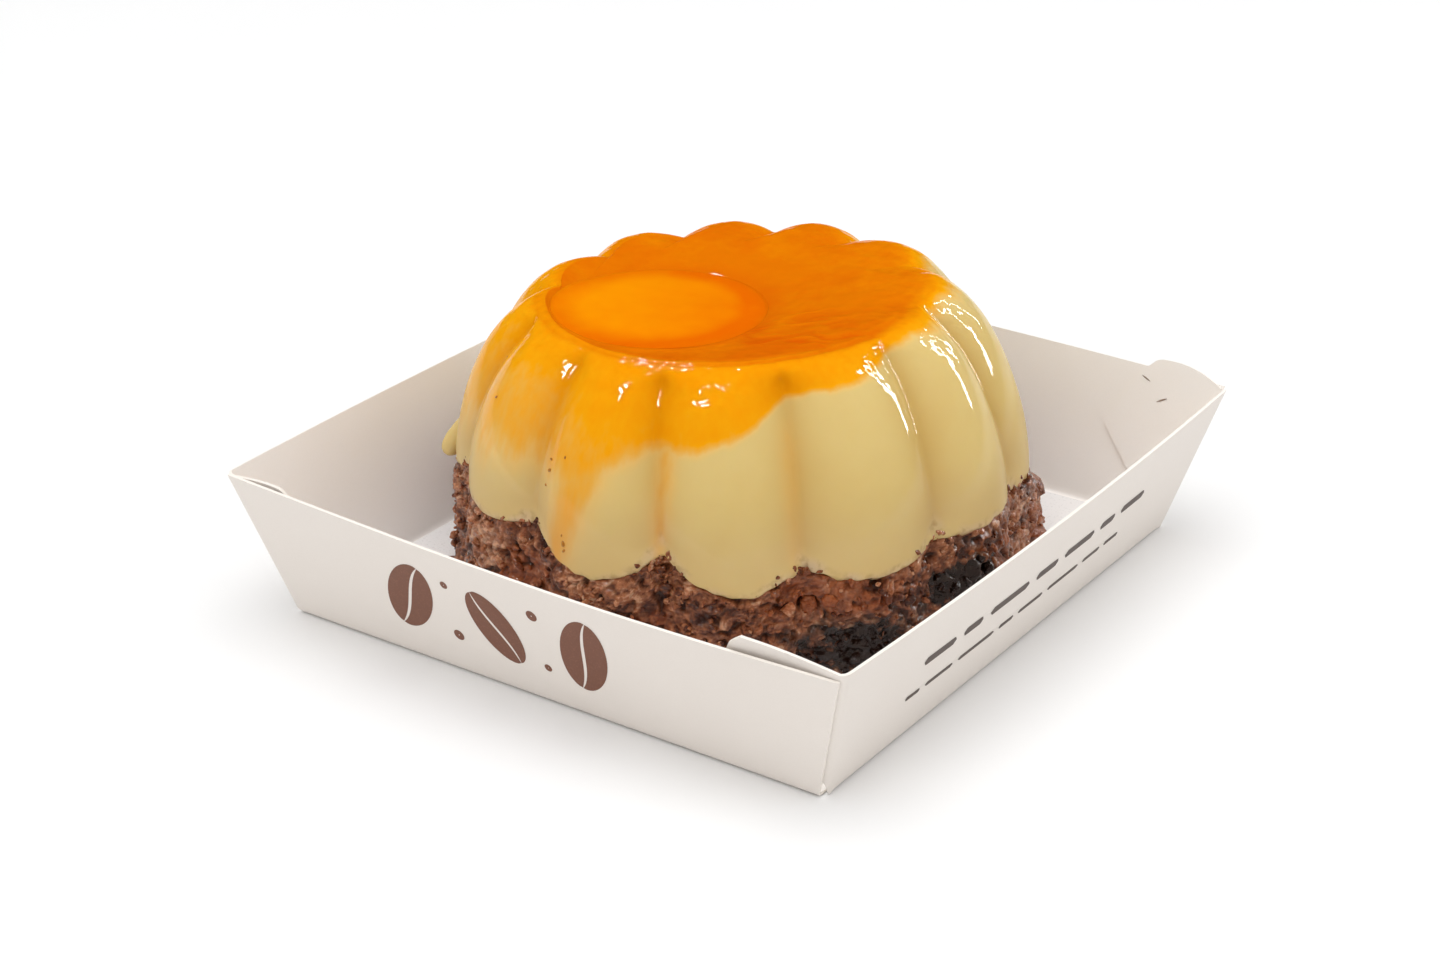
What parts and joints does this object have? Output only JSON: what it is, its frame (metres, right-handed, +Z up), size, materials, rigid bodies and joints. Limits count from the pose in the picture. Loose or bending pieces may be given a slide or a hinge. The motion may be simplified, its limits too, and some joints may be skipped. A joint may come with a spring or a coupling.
{
  "type": "chocolate flan in card tray",
  "caption": "Fluted custard flan on a chocolate cake base, with a pool of caramel sunk in its crown, standing on an insert card in a folded white card tray with sloping walls",
  "frame": {"origin": "middle of the tray's underside", "axes": "+Z up; +Y along the tray's longer side, square to the two walls that the corner flaps are tucked inside; +X square to the two walls whose ends are those flaps"},
  "size_m": [0.1208, 0.128, 0.0509],
  "materials": {
    "tray_card": "warm white folded card, faint sheen, bright cut edges, brown print",
    "insert_card": "glossy white coated card",
    "cake_crumb": "moist, coarse chocolate cake crumb",
    "custard": "smooth wet set custard, stained orange where caramel has run",
    "caramel": "clear orange caramel syrup, very glossy"
  },
  "bodies": {
    "root": {"tray": "tray_card", "insert_card": "insert_card", "cake": "cake_crumb", "custard": "custard", "caramel": "caramel"}
  },
  "joints": []
}
